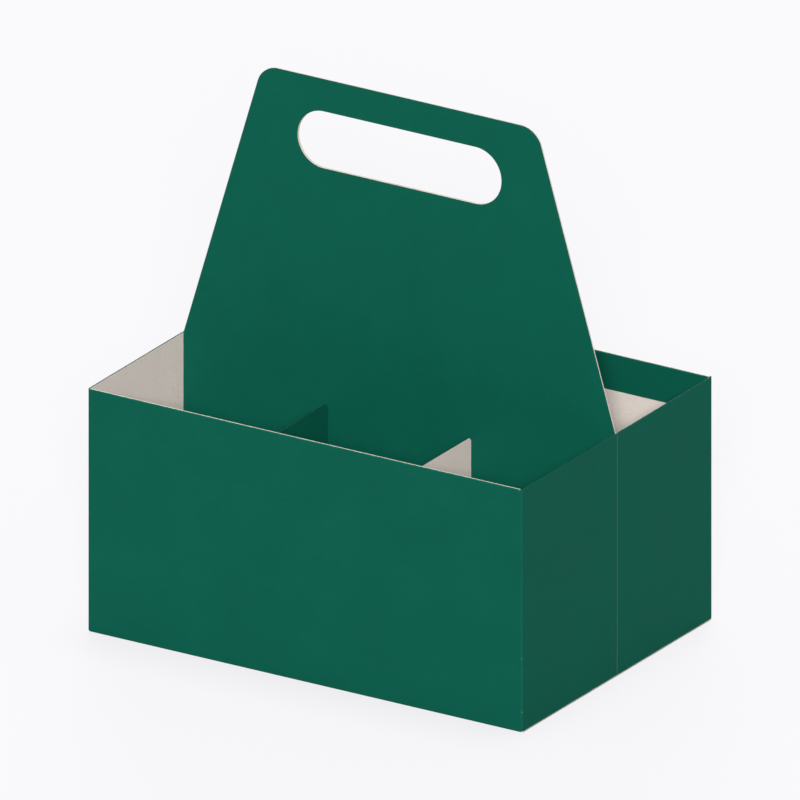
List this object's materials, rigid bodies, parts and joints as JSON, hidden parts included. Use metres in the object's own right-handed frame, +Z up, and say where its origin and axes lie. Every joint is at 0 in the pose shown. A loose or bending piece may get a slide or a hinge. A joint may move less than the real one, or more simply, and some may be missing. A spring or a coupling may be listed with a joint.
{
  "type": "bottle carrier box",
  "caption": "Open-topped folded board carrier with divided cells for bottles and a tall centre handle with a hand hole.",
  "frame": {"origin": "centre of the floor's underside, on the surface that the carrier stands on", "axes": "+X along the length, to the right seen from the front; -Y the front wall; +Z up to the handle"},
  "size_m": [0.2, 0.14, 0.2227],
  "materials": {
    "tray_board": "satin green print outside, unprinted grey-beige board inside",
    "handle_board": "satin green print outside, unprinted grey-beige board on the glued side",
    "divider_board": "unprinted grey-beige board with one green printed face"
  },
  "bodies": {
    "root": {"carrier_body": "tray_board", "handle_front_panel": "handle_board", "handle_rear_panel": "handle_board", "left_divider": "divider_board", "right_divider": "divider_board"}
  },
  "joints": []
}
